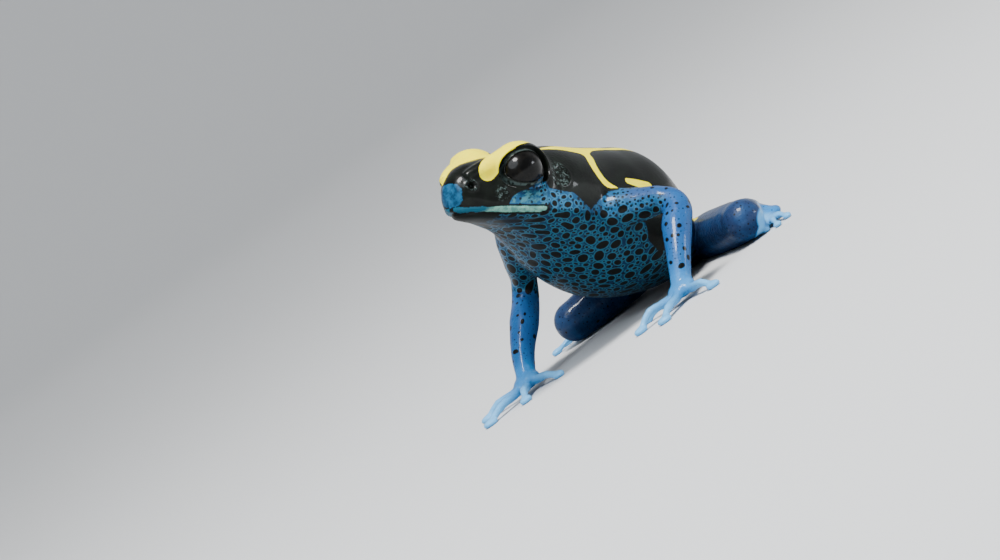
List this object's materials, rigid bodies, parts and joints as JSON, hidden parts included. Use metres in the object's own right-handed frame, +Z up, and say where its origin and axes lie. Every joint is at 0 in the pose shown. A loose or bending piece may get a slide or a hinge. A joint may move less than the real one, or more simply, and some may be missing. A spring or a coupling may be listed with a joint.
{
  "type": "dyeing poison dart frog",
  "caption": "Life-size still model of a small poison dart frog that sits with its front raised, black above with yellow bands, with blue limbs and a netted blue belly.",
  "frame": {"origin": "middle of the bounding box on the floor plane that the fingers, toes and heels rest on", "axes": "+Z up; the frog faces -Y and its left side is towards +X"},
  "size_m": [0.0356, 0.0388, 0.0255],
  "materials": {
    "skin_dark": "moist, glossy skin",
    "skin_blue": "moist, glossy skin",
    "eye": "wet and clear"
  },
  "bodies": {
    "root": {"head": "skin_dark", "torso": "skin_dark", "eye_left": "eye", "upper_arm_left": "skin_blue", "forearm_left": "skin_blue", "hand_left": "skin_blue", "thigh_left": "skin_blue", "shank_left": "skin_blue", "foot_left": "skin_blue", "eye_right": "eye", "upper_arm_right": "skin_blue", "forearm_right": "skin_blue", "hand_right": "skin_blue", "thigh_right": "skin_blue", "shank_right": "skin_blue", "foot_right": "skin_blue"}
  },
  "joints": []
}
